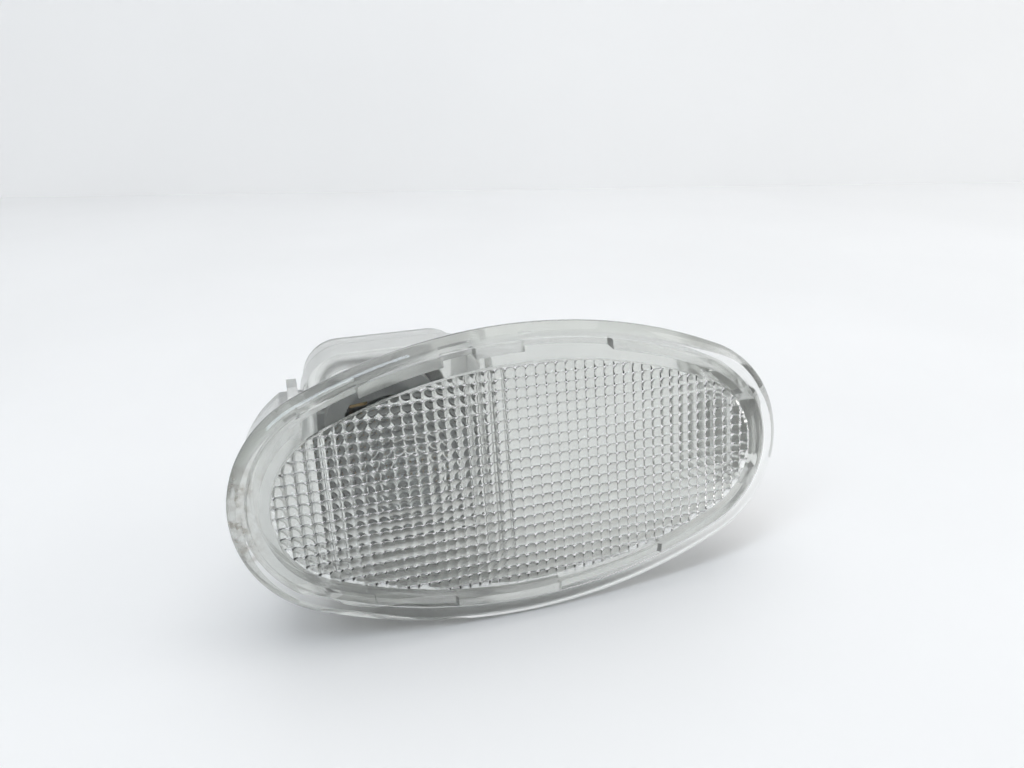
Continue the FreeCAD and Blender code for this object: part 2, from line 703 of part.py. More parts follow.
# Bulb holder: neck with two lugs, sealing flange, grip and connector shroud
def make_holder():
    body = new_body("bulb_holder")
    axis = ("bulb_x", "middle")
    cylinder(body, "neck", "y", axis, ("neck_front", "flange_y"), "holder_radius")
    cylinder(body, "sealing_flange", "y", axis, ("flange_y", "holder_flange_rear"), "holder_flange_radius")
    box(body, "lugs", ("lug_left", "lug_right"), ("lug_front", "lug_rear"), ("lug_low", "lug_half_width"))
    box(body, "shroud", ("block_left", "block_right"), ("flange_y", "shroud_rear"),
        ("block_low", "block_half_height"))
    box(body, "grip", ("grip_left", "grip_right"), ("grip_front", "grip_rear"),
        ("grip_low", "grip_half_width"))
    box(body, "shroud_hollow", ("shroud_left", "shroud_right"), ("block_rear", "shroud_open"),
        ("shroud_low", "shroud_top"), cut=True)
    box(body, "bulb_slot", ("slot_left", "slot_right"), ("slot_front", "slot_rear"),
        ("slot_low", "slot_half_height"), cut=True)
    cylinder(body, "bulb_seat", "y", axis, ("slot_front", "seat_rear"), "bulb_seat_radius", cut=True)
    box(body, "slit_one", ("slit_one_left", "slit_one_right"), ("slit_front", "slit_rear"),
        ("slit_low", "slit_top"), cut=True)
    box(body, "slit_two", ("slit_two_left", "slit_two_right"), ("slit_front", "slit_rear"),
        ("slit_low", "slit_top"), cut=True)
    return checked(body)


def make_seal():
    body = new_body("holder_seal")
    axis = ("bulb_x", "middle")
    cylinder(body, "ring", "y", axis, ("seal_front", "flange_y"), "seal_outer")
    cylinder(body, "ring_hole", "y", axis, ("neck_front", "holder_flange_rear"), "seal_inner", cut=True)
    return checked(body)


# Contacts: a spring leaf beside the wedge, bent over to a blade in the shroud
def make_contact(name, offset, inner, outer, near, far):
    body = new_body(name)
    sketch = new_sketch(body, name + "_outline", "YZ_Plane", offset)
    corners = [("leaf_front", inner), ("leaf_front", outer), ("jog_rear", outer), ("jog_rear", near),
               ("blade_rear", near), ("blade_rear", far), ("jog_front", far), ("jog_front", inner)]
    draw_polygon(sketch, corners)
    pad = body.newObject("PartDesign::Pad", name + "_strip")
    pad.Profile = sketch
    pad.Midplane = True
    pad.setExpression("Length", expr("contact_width"))
    body.Tip = pad
    return checked(body)


# Bulb: hollow glass with a flat wedge, two lead wires and a filament on two posts
def bulb_profile(sketch, tip, radius, shoulder, straight_end, end_radius, end):
    centre_y = num(shoulder)
    r = num(radius)
    d = r * DIAGONAL
    low = num(tip)
    points = [Vec(0, low, 0), Vec(d, centre_y - d, 0), Vec(r, centre_y, 0)]
    dome = sketch.addGeometry(Part.Arc(*points), False)
    chain = [(r, centre_y), (r, num(straight_end)), (num(end_radius), num(end)), (0, num(end)), (0, low)]
    lines = []
    for (ax, ay), (bx, by) in zip(chain, chain[1:]):
        lines.append(sketch.addGeometry(Part.LineSegment(Vec(ax, ay, 0), Vec(bx, by, 0)), False))
    dome_end = 2
    side, taper, floor, axis = lines
    sketch.addConstraint(Sketcher.Constraint("Coincident", dome, dome_end, side, 1))
    for first, second in ((side, taper), (taper, floor), (floor, axis)):
        sketch.addConstraint(Sketcher.Constraint("Coincident", first, 2, second, 1))
    sketch.addConstraint(Sketcher.Constraint("Coincident", axis, 2, dome, 1))
    sketch.addConstraint(Sketcher.Constraint("Vertical", side))
    sketch.addConstraint(Sketcher.Constraint("Horizontal", floor))
    sketch.addConstraint(Sketcher.Constraint("PointOnObject", dome, 3, -2))
    sketch.addConstraint(Sketcher.Constraint("PointOnObject", axis, 1, -2))
    sketch.addConstraint(Sketcher.Constraint("PointOnObject", axis, 2, -2))
    drive(sketch, Sketcher.Constraint("DistanceX", -1, 1, side, 1, r), expr(radius))
    drive(sketch, Sketcher.Constraint("DistanceY", -1, 1, side, 1, centre_y), expr(shoulder))
    drive(sketch, Sketcher.Constraint("DistanceY", -1, 1, side, 2, num(straight_end)), expr(straight_end))
    drive(sketch, Sketcher.Constraint("DistanceX", -1, 1, taper, 2, num(end_radius)), expr(end_radius))
    drive(sketch, Sketcher.Constraint("DistanceY", -1, 1, taper, 2, num(end)), expr(end))
    drive(sketch, Sketcher.Constraint("DistanceY", -1, 1, dome, 1, low), expr(tip))


def make_bulb_glass():
    body = new_body("bulb_glass")
    outer = new_sketch(body, "glass_outline", "XY_Plane", None, 1, "bulb_x")
    bulb_profile(outer, "bulb_tip", "bulb_radius", "bulb_shoulder", "bulb_straight_end",
                 "pinch_radius", "pinch_y")
    turn = body.newObject("PartDesign::Revolution", "glass")
    turn.Profile = outer
    turn.ReferenceAxis = (outer, ["V_Axis"])
    turn.Angle = 360
    body.Tip = turn
    box(body, "wedge", ("wedge_left", "wedge_right"), ("wedge_front", "wedge_rear"),
        ("wedge_low", "wedge_half_thickness"))
    inner = new_sketch(body, "void_outline", "XY_Plane", None, 1, "bulb_x")
    bulb_profile(inner, "void_tip", "void_radius", "bulb_shoulder", "void_straight_end",
                 "void_end_radius", "void_end")
    void = body.newObject("PartDesign::Groove", "glass_void")
    void.Profile = inner
    void.ReferenceAxis = (inner, ["V_Axis"])
    void.Angle = 360
    body.Tip = void
    return checked(body)


def make_filament():
    body = new_body("bulb_filament")
    cylinder(body, "coil", "x", ("coil_y", "middle"), ("coil_left", "coil_right"), "coil_radius")
    for name, side in (("post_left", "post_one"), ("post_right", "post_two")):
        cylinder(body, name, "y", (side, "middle"), ("coil_y", "void_end"), "post_radius")
    return checked(body)


def make_lead(name, side, level):
    body = new_body(name)
    cylinder(body, name + "_wire", "y", (side, level), ("lead_front", "lead_rear"), "lead_radius")
    return checked(body)


fill_sheet()
field_body = make_pillow_field()
hook_body = make_hook()
subparts = [
    make_lens(field_body),
    make_housing(hook_body),
    make_clip(),
    make_holder(),
    make_seal(),
    make_contact("contact_left", "contact_one", "leaf_inner", "leaf_outer",
                 "blade_half_thickness", "blade_low"),
    make_contact("contact_right", "contact_two", "leaf_inner_low", "leaf_outer_low",
                 "blade_low", "blade_half_thickness"),
    make_bulb_glass(),
    make_filament(),
    make_lead("lead_left", "contact_one", "lead_z"),
    make_lead("lead_right", "contact_two", "lead_z_low"),
]
doc.recompute()
for part in subparts:
    checked(part)
    part.Shape.exportStep("parts/%s.step" % part.Label)
    print(part.Label, len(part.Shape.Solids), round(part.Shape.Volume, 2))
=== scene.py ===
# %% [markdown]
# # A clear oval car lamp, dressed for its portrait
# The solids come from the packed frame, in metres: lens towards -Y, long axis on X, Z up.
# This script gives the lens its rounded pillow optics, gives every piece a finish, lays the lamp
# on a pale floor and looks at it through the photograph's camera.

import json
import math

import bmesh
import bpy
from mathutils import Matrix, Vector


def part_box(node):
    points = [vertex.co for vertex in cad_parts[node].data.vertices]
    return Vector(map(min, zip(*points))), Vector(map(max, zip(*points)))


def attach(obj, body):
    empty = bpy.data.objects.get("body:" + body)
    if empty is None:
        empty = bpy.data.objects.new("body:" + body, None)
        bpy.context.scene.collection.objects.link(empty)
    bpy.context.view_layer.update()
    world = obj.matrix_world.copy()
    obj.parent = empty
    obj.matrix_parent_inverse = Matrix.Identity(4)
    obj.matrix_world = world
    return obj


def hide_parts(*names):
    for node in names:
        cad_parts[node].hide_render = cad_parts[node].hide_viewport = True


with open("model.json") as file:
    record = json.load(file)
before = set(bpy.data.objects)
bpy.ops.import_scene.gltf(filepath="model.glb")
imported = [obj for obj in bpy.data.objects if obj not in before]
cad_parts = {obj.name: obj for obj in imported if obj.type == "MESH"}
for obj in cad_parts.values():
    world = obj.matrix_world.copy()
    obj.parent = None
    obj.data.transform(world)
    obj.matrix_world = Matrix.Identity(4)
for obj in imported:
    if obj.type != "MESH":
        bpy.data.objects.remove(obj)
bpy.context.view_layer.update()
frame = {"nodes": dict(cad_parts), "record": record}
MM = 0.001
print("nodes:", sorted(frame["nodes"]))

# %% [markdown]
# ## The oval
# The lens outline is an oval of four arcs: two tight ones at the ends and two wide ones along the sides.
# An ellipse would be simpler, but an inset ellipse is no ellipse, while an arc moved inward is still an arc.
# So one function that walks round the arcs serves every outline of the lens. Its reach comes from the solid.

# %% Oval of four arcs
lens_low, lens_high = (Vector(corner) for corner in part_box("lens"))
HALF_LENGTH = lens_high.x
HALF_HEIGHT = lens_high.z
END_RADIUS = 15.2 * MM
OVAL_CENTRE = HALF_LENGTH - END_RADIUS
SIDE_RADIUS = (OVAL_CENTRE**2 + HALF_HEIGHT**2 - END_RADIUS**2) / (2 * (HALF_HEIGHT - END_RADIUS))
SIDE_DROP = SIDE_RADIUS - HALF_HEIGHT
TURN = math.atan2(SIDE_DROP, OVAL_CENTRE)
OVAL_POINTS = 224


def oval(inset, y):
    """Points round the oval, moved inward by inset, at depth y."""
    points = []
    for step in range(OVAL_POINTS):
        angle = 2 * math.pi * step / OVAL_POINTS
        sine, cosine = math.sin(angle), math.cos(angle)
        steep = abs(math.atan2(sine, abs(cosine)))
        if steep < TURN:
            centre, radius = Vector((math.copysign(OVAL_CENTRE, cosine), 0)), END_RADIUS - inset
        else:
            centre, radius = Vector((0, -math.copysign(SIDE_DROP, sine))), SIDE_RADIUS - inset
        points.append((centre.x + radius * cosine, y, centre.y + radius * sine))
    return points


print("oval side radius, mm:", round(SIDE_RADIUS / MM, 2))

# %% [markdown]
# ## Shader helper
# A shader is arithmetic on sockets. Adding each Math node by hand hides the formula, so this class lets a
# socket be added, subtracted and multiplied like a number. Its method `node` adds any other kind of node.


# %% Wire class
class Wire:
    """A socket that can be used in arithmetic."""

    def __init__(self, tree, socket):
        self.tree = tree
        self.socket = socket

    def node(self, kind, output=0, settings=None, **inputs):
        """Add a node. Inputs go by name, with _ for a space, or by number, as in _0."""
        made = self.tree.nodes.new(kind)
        for name, value in (settings or {}).items():
            setattr(made, name, value)
        for name, value in inputs.items():
            key = int(name[1:]) if name[0] == "_" else name.replace("_", " ")
            self.feed(made.inputs[key], value)
        return Wire(self.tree, made.outputs[output])

    def feed(self, socket, value):
        """Link a wire to a socket, or set the socket to a plain value."""
        if isinstance(value, Wire):
            self.tree.links.new(value.socket, socket)
        else:
            socket.default_value = value

    def sibling(self, name):
        """Another output of the node that this wire comes from."""
        return Wire(self.tree, self.socket.node.outputs[name])

    def maths(self, operation, other=0.0):
        return self.node("ShaderNodeMath", 0, {"operation": operation}, _0=self, _1=other)

    def __add__(self, other):
        return self.maths("ADD", other)

    def __sub__(self, other):
        return self.maths("SUBTRACT", other)

    def __rsub__(self, other):
        return (self * -1.0) + other

    def __mul__(self, other):
        return self.maths("MULTIPLY", other)

    __radd__ = __add__
    __rmul__ = __mul__

    def ramp(self, low, high):
        """0 below low, 1 above high, smooth between."""
        settings = {"interpolation_type": "SMOOTHSTEP"}
        return self.node("ShaderNodeMapRange", 0, settings, Value=self, From_Min=low, From_Max=high)

    def mix(self, first, second):
        """The first colour where this is 0 and the second where it is 1."""
        return self.node("ShaderNodeMix", 2, {"data_type": "RGBA"}, _0=self, _6=first, _7=second)


print("operators:", [name for name in vars(Wire) if name.startswith("__r")])

# %% [markdown]
# ## Clear plastic
# The lens is all transmission: its colour comes from a faint tint and from what lies behind it. The housing
# behind it is a little milky, so a small share of it is plain diffuse plastic. Handling leaves some haze,
# and the left end has brownish specks near its middle height. All of it is noise on Object coordinates, so
# the marks stay in place when the lamp is moved or exported.

# %% Material helpers
WANDER_EDGES = (0.3, 0.7)


def start_material(name):
    """A material with one Principled shader: returns it, the shader and a wire of object coordinates."""
    material = bpy.data.materials.new(name)
    material.use_nodes = True
    tree = material.node_tree
    shader = tree.nodes["Principled BSDF"]
    place = tree.nodes.new("ShaderNodeTexCoord")
    return material, shader, Wire(tree, place.outputs["Object"])


def noise(place, scale, detail=3.0):
    return place.node("ShaderNodeTexNoise", 0, None, Vector=place, Scale=scale, Detail=detail)


print("noise is cut between", WANDER_EDGES)

# %% Clear plastic
PLASTIC_IOR = 1.49
SMEAR_SCALE, SMEAR_EDGES = 60.0, (0.35, 0.75)
SMEAR_TINT, SMEAR_HAZE = 0.975, 0.6
DUST_REACH = (32.5 * MM, 36.5 * MM)
DUST_HALF_HEIGHT = (4 * MM, 9 * MM)
DUST_BROWN = (0.32, 0.25, 0.18, 1)
DUST_HAZE = 0.5
SPECK_SCALE, SPECK_DETAIL, SPECK_EDGES = 900.0, 5.0, (0.45, 0.7)


def clear_plastic(name, tint, haze, clearness, dusty):
    """Clear plastic of a tint, with smears of haze all over and dust at the left end."""
    material, shader, place = start_material(name)
    axes = place.node("ShaderNodeSeparateXYZ", Vector=place)
    left_end = (axes.sibling("X") * -1.0).ramp(*DUST_REACH)
    away = axes.sibling("Z").maths("ABSOLUTE").ramp(*DUST_HALF_HEIGHT)
    specks = noise(place, SPECK_SCALE, SPECK_DETAIL).ramp(*SPECK_EDGES)
    dust = left_end * (1.0 - away) * specks * dusty
    smear = noise(place, SMEAR_SCALE).ramp(*SMEAR_EDGES)
    smeared = tuple(SMEAR_TINT * channel for channel in tint)
    colour = smear.mix((*tint, 1), (*smeared, 1))
    place.feed(shader.inputs["Base Color"], dust.mix(colour, DUST_BROWN))
    place.feed(shader.inputs["Roughness"], haze + smear * (haze * SMEAR_HAZE) + dust * DUST_HAZE)
    shader.inputs["IOR"].default_value = PLASTIC_IOR
    shader.inputs["Transmission Weight"].default_value = clearness
    return material


lens_clear = clear_plastic("lens_clear", (0.975, 0.98, 0.97), haze=0.02, clearness=1.0, dusty=0.7)
housing_clear = clear_plastic("housing_clear", (0.925, 0.935, 0.91), haze=0.12, clearness=0.88, dusty=0.5)
print("clear plastics:", lens_clear.name, housing_clear.name)

# %% [markdown]
# ## Other finishes
# Moulded grey plastic, rubber, brass, spring steel and bulb wire are never one flat colour. Each wanders
# between two close colours and two roughnesses, with a fine grain where it is moulded or rolled. One
# function makes them all, because only the numbers differ.

# %% Opaque finishes
GRAIN_FINER, GRAIN_DEPTH = 12, 0.2 * MM
PLAIN_FINISHES = {
    "holder_plastic": {"dark": (0.5, 0.51, 0.51), "light": (0.58, 0.59, 0.58), "scale": 400,
                       "roughness": (0.4, 0.55), "grain": 0.25},
    "seal_rubber": {"dark": (0.2, 0.2, 0.2), "light": (0.26, 0.26, 0.26), "scale": 500,
                    "roughness": (0.7, 0.85), "grain": 0.3},
    "contact_brass": {"dark": (0.62, 0.43, 0.17), "light": (0.76, 0.56, 0.27), "scale": 300,
                      "roughness": (0.22, 0.38), "metallic": 1.0},
    "clip_steel": {"dark": (0.46, 0.46, 0.45), "light": (0.6, 0.6, 0.59), "scale": 350,
                   "roughness": (0.25, 0.4), "metallic": 1.0, "grain": 0.1},
    "bulb_wire": {"dark": (0.35, 0.34, 0.33), "light": (0.5, 0.49, 0.48), "scale": 900,
                  "roughness": (0.3, 0.45), "metallic": 1.0},
}


def plain_finish(name, dark, light, scale, roughness, metallic=0.0, grain=0.0):
    """A finish that wanders between two colours and two roughnesses, with a fine grain."""
    material, shader, place = start_material(name)
    wander = noise(place, scale).ramp(*WANDER_EDGES)
    low, high = roughness
    place.feed(shader.inputs["Base Color"], wander.mix((*dark, 1), (*light, 1)))
    place.feed(shader.inputs["Roughness"], low + wander * (high - low))
    shader.inputs["Metallic"].default_value = metallic
    if grain:
        height = noise(place, scale * GRAIN_FINER)
        bump = place.node("ShaderNodeBump", Height=height, Strength=grain, Distance=GRAIN_DEPTH)
        place.feed(shader.inputs["Normal"], bump)
    return material


finishes = {name: plain_finish(name, **values) for name, values in PLAIN_FINISHES.items()}
print("opaque finishes:", len(finishes))

# %% [markdown]
# ## Bulb glass
# The bulb is thin clear glass with a faint film on it, so it is all transmission with a trace of haze.

# %% Bulb glass
GLASS_IOR = 1.52
FILM_SCALE, FILM_EDGES, FILM_HAZE = 120.0, (0.3, 0.8), 0.02
GLASS_BARE, GLASS_FILMED = (0.97, 0.98, 0.98, 1), (0.93, 0.95, 0.95, 1)


def bulb_glass_finish():
    material, shader, place = start_material("bulb_glass")
    film = noise(place, FILM_SCALE).ramp(*FILM_EDGES)
    place.feed(shader.inputs["Base Color"], film.mix(GLASS_BARE, GLASS_FILMED))
    place.feed(shader.inputs["Roughness"], film * FILM_HAZE)
    shader.inputs["IOR"].default_value = GLASS_IOR
    shader.inputs["Transmission Weight"].default_value = 1.0
    return material


finishes |= {"lens_clear": lens_clear, "housing_clear": housing_clear, "bulb_glass": bulb_glass_finish()}
print("finishes:", len(finishes))

# %% [markdown]
# ## Lens blank
# The lens is one clear moulding. Its blank has flange, bevel, crest, sloped wall and flat front. A bevelled
# solid would do, but a stack of ovals gives each edge its own rounding, and that is what catches the light.
# Each ring is joined to the next and both ends are capped, which gives the closed skin that clear plastic
# needs, because light bends at each skin.


# %% Ring stack
def object_from(name, vertices, faces):
    """A new object with outward faces, linked to the scene."""
    mesh = bpy.data.meshes.new(name)
    mesh.from_pydata([tuple(v) for v in vertices], [], faces)
    piece = bpy.data.objects.new(name, mesh)
    bpy.context.collection.objects.link(piece)
    work = bmesh.new()
    work.from_mesh(mesh)
    bmesh.ops.recalc_face_normals(work, faces=work.faces)
    work.to_mesh(mesh)
    work.free()
    return piece


def ring_stack(name, rings):
    """A closed mesh through rings of equal point count, capped at both ends."""
    count = len(rings[0])
    vertices = [point for ring in rings for point in ring]
    faces = [list(range(count))]
    for level in range(len(rings) - 1):
        for step in range(count):
            near = level * count + step
            after = level * count + (step + 1) % count
            faces.append((near, after, after + count, near + count))
    last = (len(rings) - 1) * count
    faces.append(list(range(last, last + count)))
    return object_from(name, vertices, faces)


print("points in a ring:", OVAL_POINTS)

# %% [markdown]
# The profile lists the rings from the recess at the back to the front, each as an inset from the oval and
# a depth, in millimetres. The recess is 0.03 mm deeper than the solid's, so that the clear lens and the
# clear housing keep a film of air between them and their faces don't coincide.

# %% Lens blank
RECESS = 0.53
CREST = 1.6
OPTIC_FRONT = -lens_low.y / MM
LENS_PROFILE = [
    (2.3, -RECESS), (2.3, 0.0), (0.12, 0.0), (0.03, -0.03), (0.0, -0.12), (0.0, -0.42), (0.03, -0.53),
    (0.12, -0.66), (1.02, -1.36), (1.2, -1.49), (1.4, -CREST + 0.02), (1.6, -CREST), (1.85, -CREST - 0.01),
    (2.1, -CREST - 0.08), (4.95, -OPTIC_FRONT + 0.1), (5.1, -OPTIC_FRONT + 0.03), (5.3, -OPTIC_FRONT),
]
lens = ring_stack("lens_skin", [oval(inset * MM, y * MM) for inset, y in LENS_PROFILE])
print("lens blank:", len(lens.data.polygons), "faces")

# %% [markdown]
# ## Pillow sheet
# The pillows on the lens's inner face spread the bulb's light. Bump in the material would fake them, but it
# neither bends the light through the lens nor shows in the exported mesh. One pillow is a small grid pushed
# up into a cap of a sphere. Geometry Nodes puts a copy in every cell of a grid, joins the copies and hands
# back one sheet.

# %% Pillow sizes
PITCH = 1.33 * MM
PILLOW_HEIGHT = 0.46 * MM
PILLOW_RADIUS = (2 * (PITCH / 2) ** 2 + PILLOW_HEIGHT**2) / (2 * PILLOW_HEIGHT)
PILLOW_POINTS = 9
MERGE_DISTANCE = PITCH * 0.01
CAVITY_INSET = 5.2 * MM
CAVITY_FLOOR = lens_low.y + 1.0 * MM
COLUMNS = 2 * math.ceil((HALF_LENGTH - CAVITY_INSET) / PITCH)
ROWS = 2 * math.ceil((HALF_HEIGHT - CAVITY_INSET) / PITCH)
PILLOW_INPUTS = {"Columns": "NodeSocketInt", "Rows": "NodeSocketInt",
                 "Pitch": "NodeSocketFloat", "Sphere Radius": "NodeSocketFloat"}
print("pillow sphere radius, mm:", round(PILLOW_RADIUS / MM, 3))


# %% Pillow nodes
def pillow_nodes(material):
    """A node group: a grid of domed cells with inputs for counts, pitch and sphere radius."""
    group = bpy.data.node_groups.new("pillow_sheet", "GeometryNodeTree")
    group.interface.new_socket("Geometry", in_out="OUTPUT", socket_type="NodeSocketGeometry")
    for name, kind in PILLOW_INPUTS.items():
        group.interface.new_socket(name, in_out="INPUT", socket_type=kind)
    made = Wire(group, None)
    given = {s.name: Wire(group, s) for s in group.nodes.new("NodeGroupInput").outputs if s.name}
    pitch, radius = given["Pitch"], given["Sphere Radius"]
    cell = made.node("GeometryNodeMeshGrid", Size_X=pitch, Size_Y=pitch,
                     Vertices_X=PILLOW_POINTS, Vertices_Y=PILLOW_POINTS)
    place = made.node("GeometryNodeInputPosition")
    away = made.node("ShaderNodeVectorMath", 1, {"operation": "LENGTH"}, _0=place)
    square = radius * radius
    rise = (square - away * away).maths("SQRT") - (square - pitch * pitch * 0.5).maths("SQRT")
    lift = made.node("ShaderNodeCombineXYZ", Z=rise)
    cap = made.node("GeometryNodeSetPosition", Geometry=cell, Offset=lift)
    wide = (given["Columns"] - 1.0) * pitch
    deep = (given["Rows"] - 1.0) * pitch
    spots = made.node("GeometryNodeMeshGrid", Size_X=wide, Size_Y=deep,
                      Vertices_X=given["Columns"], Vertices_Y=given["Rows"])
    copies = made.node("GeometryNodeInstanceOnPoints", Points=spots, Instance=cap)
    real = made.node("GeometryNodeRealizeInstances", Geometry=copies)
    joined = made.node("GeometryNodeMergeByDistance", Geometry=real, Distance=MERGE_DISTANCE)
    painted = made.node("GeometryNodeSetMaterial", Geometry=joined, Material=material)
    made.feed(group.nodes.new("NodeGroupOutput").inputs[0], painted)
    return group


pillow_group = pillow_nodes(lens_clear)
print("pillow nodes:", len(pillow_group.nodes))

# %% [markdown]
# The sheet is turned to face the lens's back and closed into a block of air. A block can be cut out of the
# blank, and an open sheet can't.

# %% Pillow block
BLOCK_BACK = 2 * MM


def baked(piece):
    """Replace a piece's modifiers by the plain mesh they make."""
    graph = bpy.context.evaluated_depsgraph_get()
    mesh = bpy.data.meshes.new_from_object(piece.evaluated_get(graph))
    piece.modifiers.clear()
    old = piece.data
    piece.data = mesh
    bpy.data.meshes.remove(old)
    return piece


def pillow_sheet():
    """The domed sheet as a plain mesh, lying flat at the origin."""
    sheet = object_from("pillow_block", [], [])
    modifier = sheet.modifiers.new("pillows", "NODES")
    modifier.node_group = pillow_group
    values = {"Columns": COLUMNS, "Rows": ROWS, "Pitch": PITCH, "Sphere Radius": PILLOW_RADIUS}
    for item in pillow_group.interface.items_tree:
        if item.in_out == "INPUT":
            modifier[item.identifier] = values[item.name]
    return baked(sheet)


def close_into_block(sheet):
    """Turn the sheet to face +Y and close it into a block of air behind it."""
    work = bmesh.new()
    work.from_mesh(sheet.data)
    turn = Matrix.Rotation(math.radians(-90), 4, "X")
    bmesh.ops.transform(work, matrix=Matrix.Translation((0, CAVITY_FLOOR, 0)) @ turn, verts=work.verts)
    border = [edge for edge in work.edges if edge.is_boundary]
    grown = bmesh.ops.extrude_edge_only(work, edges=border)["geom"]
    for item in grown:
        if isinstance(item, bmesh.types.BMVert):
            item.co.y = BLOCK_BACK
    rim = [item for item in grown if isinstance(item, bmesh.types.BMEdge)]
    bmesh.ops.contextual_create(work, geom=rim)
    bmesh.ops.recalc_face_normals(work, faces=work.faces)
    work.to_mesh(sheet.data)
    work.free()
    return sheet


pillow_block = close_into_block(pillow_sheet())
print("pillow block:", len(pillow_block.data.polygons), "faces,", COLUMNS, "x", ROWS, "pillows")

# %% [markdown]
# ## Lens with its pillows
# The block is trimmed to the oval of the optic field and cut out of the blank, which leaves the pillows'
# shape inside the lens. The finished skin stands for the plain solid.

# %% Cut the lens
AIR_FRONT, AIR_BACK = -2.5 * MM, 1.0 * MM
SMOOTH_BELOW = math.radians(38)


def combine(piece, other, operation):
    """Cut or intersect a piece with another closed piece, which is then deleted."""
    modifier = piece.modifiers.new("combine", "BOOLEAN")
    modifier.operation = operation
    modifier.solver = "EXACT"
    modifier.object = other
    baked(piece)
    bpy.data.objects.remove(other)
    return piece


air = ring_stack("air", [oval(CAVITY_INSET, level) for level in (AIR_FRONT, AIR_BACK)])
air = combine(air, pillow_block, "INTERSECT")
lens = combine(lens, air, "DIFFERENCE")
lens.data.shade_smooth()
lens.data.set_sharp_from_angle(angle=SMOOTH_BELOW)
lens.data.materials.clear()
lens.data.materials.append(lens_clear)
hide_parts("lens")
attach(lens, "lamp")
print("lens:", len(lens.data.polygons), "faces")

# %% [markdown]
# ## Other pieces
# The moulded and stamped pieces keep their solids' shapes. A narrow bevel on each sharp edge gives the
# small radius that every real moulding has; it is live, so the solids' own meshes stay as they are.

# %% Finishes for the solids
EDGE_WIDTH, EDGE_SEGMENTS = 0.12 * MM, 2
EDGE_ABOVE = math.radians(35)
BEVELLED = ("housing", "bulb_holder", "spring_clip", "contact_left", "contact_right")
slot_of = {row["node"]: row["material_slot"] for row in frame["record"]["subparts"]}
solids = {name: piece for name, piece in frame["nodes"].items() if name != "lens"}
for name, piece in solids.items():
    piece.data.materials.clear()
    piece.data.materials.append(finishes[slot_of[name]])
    if name in BEVELLED:
        bevel = piece.modifiers.new("edge", "BEVEL")
        bevel.width = EDGE_WIDTH
        bevel.segments = EDGE_SEGMENTS
        bevel.limit_method = "ANGLE"
        bevel.angle_limit = EDGE_ABOVE
print("dressed:", len(solids), "solids,", len(BEVELLED), "of them bevelled")

# %% [markdown]
# ## Floor
# The lamp lies on its lower rim and on the rounded lower rear edge of its bulb chamber. In the lamp's own
# frame the floor is the plane through the rim that just touches that rounding, about eight degrees steep.
# Tilting the floor rather than the lamp keeps every piece where the frame has it.

# %% Floor
RIM_Y = -0.3 * MM
FLOOR_GAP = 0.02 * MM
FLOOR_REACH = 2.0
CHAMBER_HALF_HEIGHT = 16.6 * MM
CHAMBER_ROUND = 1.2 * MM
FLOOR_PALE, FLOOR_PALER = (0.90, 0.90, 0.90, 1), (0.93, 0.93, 0.93, 1)
FLOOR_ROUGHNESS = (0.35, 0.45)
CLOUD_DETAIL = 4.0
chamber_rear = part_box("housing")[1][1]
round_y = chamber_rear - CHAMBER_ROUND - RIM_Y
round_z = CHAMBER_ROUND - CHAMBER_HALF_HEIGHT + HALF_HEIGHT
slope = math.atan2(round_z, round_y) - math.asin(CHAMBER_ROUND / math.hypot(round_y, round_z))


def rectangle(name, low, high, flat):
    """One face between two corners: flat in XY, or upright in XZ."""
    corners = [(low[0], low[1]), (high[0], low[1]), (high[0], high[1]), (low[0], high[1])]
    vertices = [(across, along, 0) if flat else (across, 0, along) for across, along in corners]
    return object_from(name, vertices, [(0, 1, 2, 3)])


def floor_finish():
    material, shader, place = start_material("floor_tile")
    cloud = noise(place, 9.0, CLOUD_DETAIL).ramp(*WANDER_EDGES)
    low, high = FLOOR_ROUGHNESS
    place.feed(shader.inputs["Base Color"], cloud.mix(FLOOR_PALE, FLOOR_PALER))
    place.feed(shader.inputs["Roughness"], low + cloud * (high - low))
    return material


floor = rectangle("floor", (-FLOOR_REACH, -FLOOR_REACH), (FLOOR_REACH, FLOOR_REACH), flat=True)
floor.data.transform(Matrix.Rotation(slope, 4, "X"))
floor.data.transform(Matrix.Translation((0, RIM_Y, -HALF_HEIGHT - FLOOR_GAP)))
floor.data.materials.append(floor_finish())
print("floor slope, degrees:", round(math.degrees(slope), 2))

# %% [markdown]
# ## Wall
# A plain wall stands behind. Its faint glow is there only for what looks at it, straight or through the
# clear plastic, so it makes the wall paler without lighting the lamp.

# %% Wall
WALL_FOOT = Vector((122, 400, 36.5)) * MM
WALL_TURN = math.radians(-20)
WALL_LOW, WALL_HIGH = (-3.0, -0.1), (3.0, 2.0)
WALL_PALE, WALL_PALER = (0.88, 0.88, 0.88, 1), (0.91, 0.91, 0.91, 1)
WALL_ROUGHNESS = 0.6
WALL_GLOW = 0.15
BLACK, WHITE = (0, 0, 0, 1), (1, 1, 1, 1)


def wall_finish():
    material, shader, place = start_material("wall_paint")
    cloud = noise(place, 5.0, CLOUD_DETAIL).ramp(*WANDER_EDGES)
    place.feed(shader.inputs["Base Color"], cloud.mix(WALL_PALE, WALL_PALER))
    shader.inputs["Roughness"].default_value = WALL_ROUGHNESS
    seen = place.node("ShaderNodeLightPath", "Is Camera Ray")
    mirrored, seen_through = seen.sibling("Is Glossy Ray"), seen.sibling("Is Transmission Ray")
    looked_at = seen.maths("MAXIMUM", mirrored).maths("MAXIMUM", seen_through)
    place.feed(shader.inputs["Emission Color"], looked_at.mix(BLACK, WHITE))
    shader.inputs["Emission Strength"].default_value = WALL_GLOW
    return material


